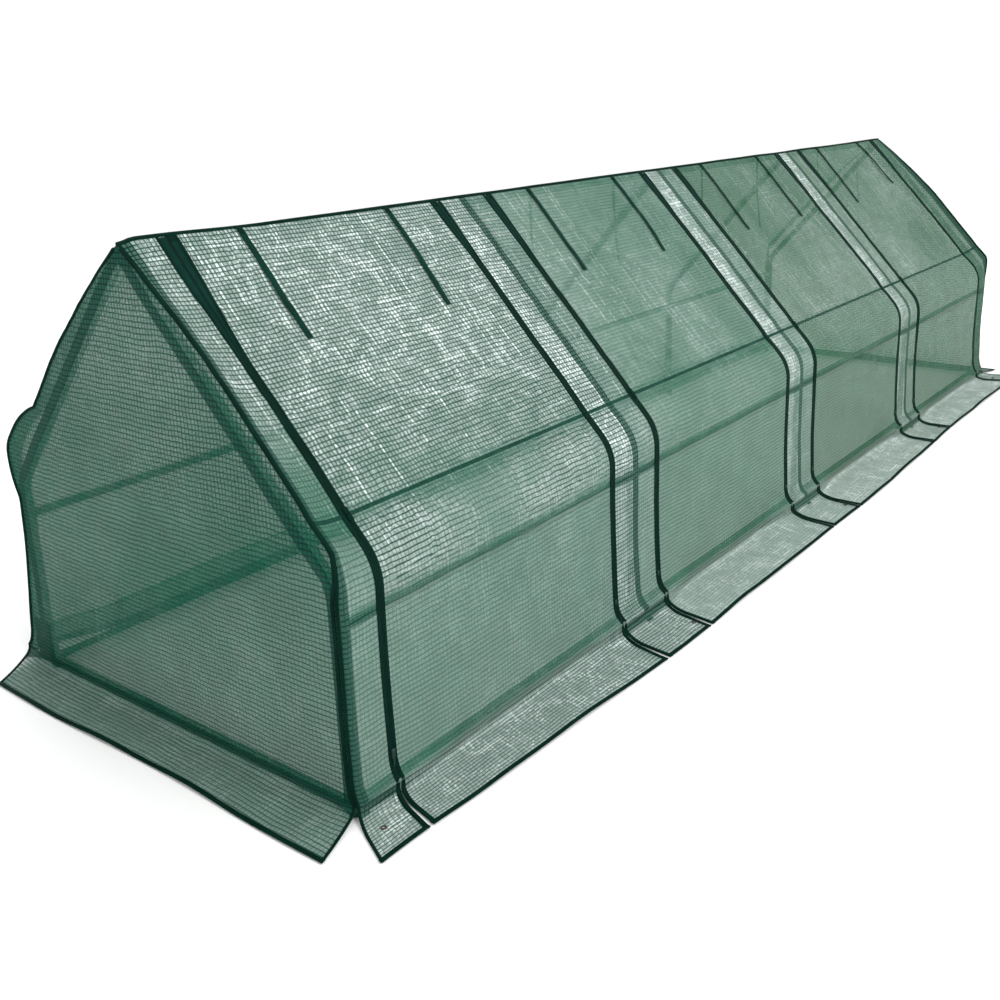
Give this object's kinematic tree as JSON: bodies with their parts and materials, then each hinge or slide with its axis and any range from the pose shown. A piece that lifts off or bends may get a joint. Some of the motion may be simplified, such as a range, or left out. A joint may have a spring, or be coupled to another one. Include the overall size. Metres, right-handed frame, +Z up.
{
  "type": "row cover tunnel",
  "caption": "Long gabled garden tunnel: tube frame, zipped mesh-film cover with fold-up doors on one side, tie straps and a ground skirt.",
  "frame": {"origin": "on the ground, under the middle of the tunnel", "axes": "+X along the ridge, -Y is the side with the zipped doors, +Z up"},
  "size_m": [3.8214, 1.2582, 0.95],
  "materials": {
    "cover_cloth": "translucent green film with a woven grid of strands, satin sheen",
    "binding_tape": "dark green folded binding, matt",
    "frame_paint": "dark green powder coat, semi-gloss",
    "joint_plastic": "dark green moulded plastic, matt",
    "tie_webbing": "dark green woven tape, matt",
    "zip_plastic": "dark green moulded zip, satin"
  },
  "bodies": {
    "frame": {"back_base_rail": "frame_paint", "back_leg_1": "frame_paint", "back_leg_2": "frame_paint", "back_leg_3": "frame_paint", "back_leg_4": "frame_paint", "back_leg_5": "frame_paint", "back_panel": "cover_cloth", "back_purlin": "frame_paint", "back_rafter_1": "frame_paint", "back_rafter_2": "frame_paint", "back_rafter_3": "frame_paint", "back_rafter_4": "frame_paint", "back_rafter_5": "frame_paint", "far_end_panel": "cover_cloth", "far_end_rail": "frame_paint", "front_base_rail": "frame_paint", "front_leg_1": "frame_paint", "front_leg_2": "frame_paint", "front_leg_3": "frame_paint", "front_leg_4": "frame_paint", "front_leg_5": "frame_paint", "front_purlin": "frame_paint", "front_rafter_1": "frame_paint", "front_rafter_2": "frame_paint", "front_rafter_3": "frame_paint", "front_rafter_4": "frame_paint", "front_rafter_5": "frame_paint", "front_strip_1": "cover_cloth", "front_strip_2": "cover_cloth", "front_strip_3": "cover_cloth", "front_strip_4": "cover_cloth", "front_strip_5": "cover_cloth", "near_end_panel": "cover_cloth", "near_end_rail": "frame_paint", "ridge_joint_1": "joint_plastic", "ridge_joint_2": "joint_plastic", "ridge_joint_3": "joint_plastic", "ridge_joint_4": "joint_plastic", "ridge_joint_5": "joint_plastic", "ridge_tube": "frame_paint"},
    "door_1_roof": {"roof_flap_1": "cover_cloth", "door_ties_1": "tie_webbing"},
    "door_1_wall": {"wall_flap_1": "cover_cloth"},
    "left_zip_1": {"left_zip_slider_1": "zip_plastic"},
    "right_zip_1": {"right_zip_slider_1": "zip_plastic"},
    "door_2_roof": {"roof_flap_2": "cover_cloth", "door_ties_2": "tie_webbing"},
    "door_2_wall": {"wall_flap_2": "cover_cloth"},
    "left_zip_2": {"left_zip_slider_2": "zip_plastic"},
    "right_zip_2": {"right_zip_slider_2": "zip_plastic"},
    "door_3_roof": {"roof_flap_3": "cover_cloth", "door_ties_3": "tie_webbing"},
    "door_3_wall": {"wall_flap_3": "cover_cloth"},
    "left_zip_3": {"left_zip_slider_3": "zip_plastic"},
    "right_zip_3": {"right_zip_slider_3": "zip_plastic"},
    "door_4_roof": {"roof_flap_4": "cover_cloth", "door_ties_4": "tie_webbing"},
    "door_4_wall": {"wall_flap_4": "cover_cloth"},
    "left_zip_4": {"left_zip_slider_4": "zip_plastic"},
    "right_zip_4": {"right_zip_slider_4": "zip_plastic"}
  },
  "joints": [
    {"name": "roof_lift_1", "type": "hinge", "parent": "frame", "child": "door_1_roof", "pos_m": [-1.34634, -0.01635, 0.93931], "axis": [-1, 0, 0], "range_deg": [0, 95]},
    {"name": "wall_fold_1", "type": "hinge", "parent": "door_1_roof", "child": "door_1_wall", "pos_m": [-1.34634, -0.40927, 0.51025], "axis": [-1, 0, 0], "range_deg": [0, 160]},
    {"name": "left_zip_run_1", "type": "slide", "parent": "door_1_wall", "child": "left_zip_1", "axis": [0, 0, 1], "range_m": [0, 0.296]},
    {"name": "right_zip_run_1", "type": "slide", "parent": "door_1_wall", "child": "right_zip_1", "axis": [0, 0, 1], "range_m": [0, 0.296]},
    {"name": "roof_lift_2", "type": "hinge", "parent": "frame", "child": "door_2_roof", "pos_m": [-0.44734, -0.01635, 0.93931], "axis": [-1, 0, 0], "range_deg": [0, 95]},
    {"name": "wall_fold_2", "type": "hinge", "parent": "door_2_roof", "child": "door_2_wall", "pos_m": [-0.44734, -0.40927, 0.51025], "axis": [-1, 0, 0], "range_deg": [0, 160]},
    {"name": "left_zip_run_2", "type": "slide", "parent": "door_2_wall", "child": "left_zip_2", "axis": [0, 0, 1], "range_m": [0, 0.296]},
    {"name": "right_zip_run_2", "type": "slide", "parent": "door_2_wall", "child": "right_zip_2", "axis": [0, 0, 1], "range_m": [0, 0.296]},
    {"name": "roof_lift_3", "type": "hinge", "parent": "frame", "child": "door_3_roof", "pos_m": [0.44734, -0.01635, 0.93931], "axis": [-1, 0, 0], "range_deg": [0, 95]},
    {"name": "wall_fold_3", "type": "hinge", "parent": "door_3_roof", "child": "door_3_wall", "pos_m": [0.44734, -0.40927, 0.51025], "axis": [-1, 0, 0], "range_deg": [0, 160]},
    {"name": "left_zip_run_3", "type": "slide", "parent": "door_3_wall", "child": "left_zip_3", "axis": [0, 0, 1], "range_m": [0, 0.296]},
    {"name": "right_zip_run_3", "type": "slide", "parent": "door_3_wall", "child": "right_zip_3", "axis": [0, 0, 1], "range_m": [0, 0.296]},
    {"name": "roof_lift_4", "type": "hinge", "parent": "frame", "child": "door_4_roof", "pos_m": [1.34634, -0.01635, 0.93931], "axis": [-1, 0, 0], "range_deg": [0, 95]},
    {"name": "wall_fold_4", "type": "hinge", "parent": "door_4_roof", "child": "door_4_wall", "pos_m": [1.34634, -0.40927, 0.51025], "axis": [-1, 0, 0], "range_deg": [0, 160]},
    {"name": "left_zip_run_4", "type": "slide", "parent": "door_4_wall", "child": "left_zip_4", "axis": [0, 0, 1], "range_m": [0, 0.296]},
    {"name": "right_zip_run_4", "type": "slide", "parent": "door_4_wall", "child": "right_zip_4", "axis": [0, 0, 1], "range_m": [0, 0.296]}
  ]
}
